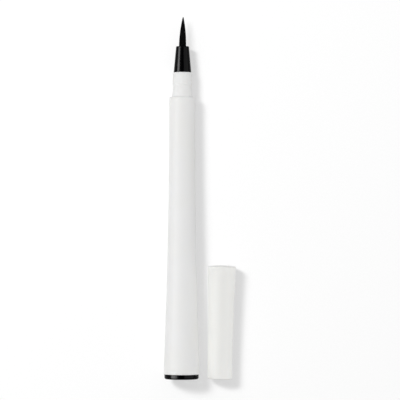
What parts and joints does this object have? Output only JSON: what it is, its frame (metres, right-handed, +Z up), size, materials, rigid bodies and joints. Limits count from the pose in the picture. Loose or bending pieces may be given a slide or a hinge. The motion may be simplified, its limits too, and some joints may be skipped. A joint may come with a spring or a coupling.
{
  "type": "liquid eyeliner pen",
  "caption": "Tapered white pen with a white neck, black cone and pointed black brush, lying flat beside its open cap.",
  "frame": {"origin": "on the table, under the middle of the box around pen and cap as they lie", "axes": "+Y along the pen from tail to brush, as seen from above; +X towards the side where the cap lies; +Z up from the table"},
  "size_m": [0.0254, 0.1275, 0.0125],
  "materials": {
    "barrel_white": "moulded polypropylene, satin gloss",
    "cap_white": "moulded polypropylene, satin gloss",
    "neck_white": "moulded ABS, satin gloss",
    "gloss_black": "polished moulded ABS",
    "bristle_black": "ink-soaked nylon filaments",
    "fused_nylon": "fused filament ends",
    "natural_plastic": "natural polyethylene",
    "inky_fibre": "bonded polyester fibre soaked with ink",
    "clear_film": "thin polypropylene film",
    "wick_fibre": "bonded fibre rod soaked with ink"
  },
  "bodies": {
    "pen": {"barrel": "barrel_white", "end_plug": "gloss_black", "reservoir": "inky_fibre", "reservoir_film": "clear_film", "front_collar": "neck_white", "nozzle": "gloss_black", "bristles": "bristle_black", "brush_root": "fused_nylon", "wick_sleeve": "natural_plastic", "feed_wick": "wick_fibre"},
    "cap": {"cap_shell": "cap_white", "cap_liner": "natural_plastic"}
  },
  "joints": [
    {"name": "cap_slide", "type": "slide", "parent": "pen", "child": "cap", "axis": [0, 1, 0], "range_m": [0, 0.13]}
  ]
}
